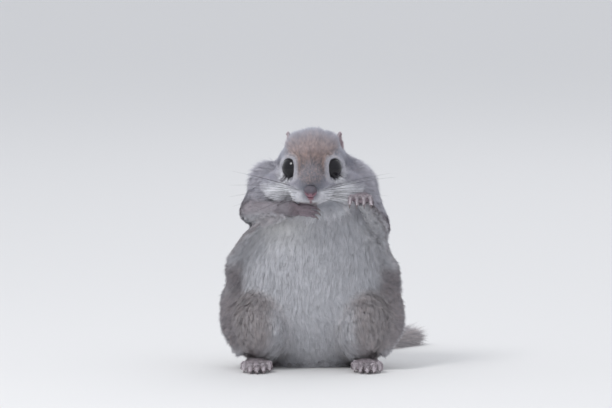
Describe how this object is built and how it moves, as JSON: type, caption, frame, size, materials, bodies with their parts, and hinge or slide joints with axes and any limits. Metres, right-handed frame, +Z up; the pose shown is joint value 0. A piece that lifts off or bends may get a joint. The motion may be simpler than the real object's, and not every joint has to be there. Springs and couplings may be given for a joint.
{
  "type": "flying squirrel",
  "caption": "Life-size still model of a small grey flying squirrel sitting up on its haunches, hands raised, tail laid behind on the floor.",
  "frame": {"origin": "on the floor, under the middle of the model's box", "axes": "+Z up, the animal looks along -Y, +X is its own left side"},
  "size_m": [0.094, 0.159, 0.1004],
  "materials": {
    "back_fur": "soft grey-brown fur",
    "pale_fur": "soft pale grey fur",
    "belly_fur": "soft white fur",
    "bare_skin": "smooth thin skin",
    "eye": "wet gloss"
  },
  "bodies": {
    "root": {"ear_left": "bare_skin", "ear_right": "bare_skin", "eye_left": "eye", "eye_right": "eye", "foot_left": "bare_skin", "foot_right": "bare_skin", "forearm_left": "pale_fur", "forearm_right": "pale_fur", "hand_left": "bare_skin", "hand_right": "bare_skin", "head": "back_fur", "neck": "pale_fur", "nose": "bare_skin", "patagium_left": "back_fur", "patagium_right": "back_fur", "shank_left": "back_fur", "shank_right": "back_fur", "tail": "back_fur", "thigh_left": "back_fur", "thigh_right": "back_fur", "torso": "belly_fur", "upper_arm_left": "pale_fur", "upper_arm_right": "pale_fur"}
  },
  "joints": []
}
